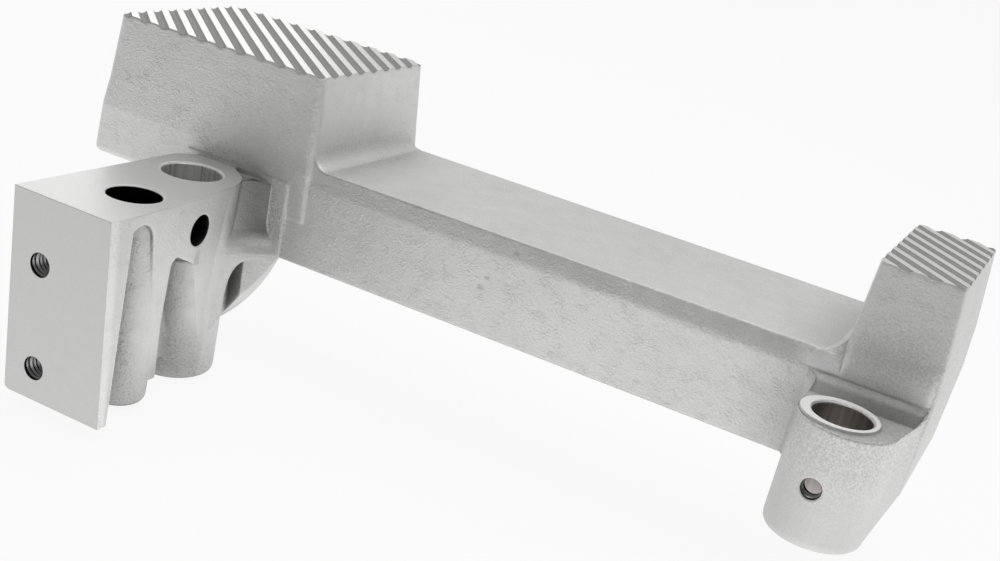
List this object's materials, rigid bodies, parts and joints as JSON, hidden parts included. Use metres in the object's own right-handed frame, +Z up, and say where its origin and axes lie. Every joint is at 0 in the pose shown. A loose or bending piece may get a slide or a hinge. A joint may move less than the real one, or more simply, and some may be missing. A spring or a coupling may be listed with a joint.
{
  "type": "guide bracket",
  "caption": "Cast aluminium bracket: a beam with diagonally serrated pads at its ends, a machined guide block with upright bores and a bored boss for guide rods.",
  "frame": {"origin": "on the axis of the front guide bore, in the plane of the machined top of the guide block", "axes": "+Z up along the guide bores, +X along the beam from the guide block to the far boss, -Y out of the machined mounting face"},
  "size_m": [0.3384, 0.1663, 0.1203],
  "materials": {
    "cast_aluminium": "blasted casting with machined top, face and ring"
  },
  "bodies": {
    "root": {"guide_bracket": "cast_aluminium"}
  },
  "joints": []
}
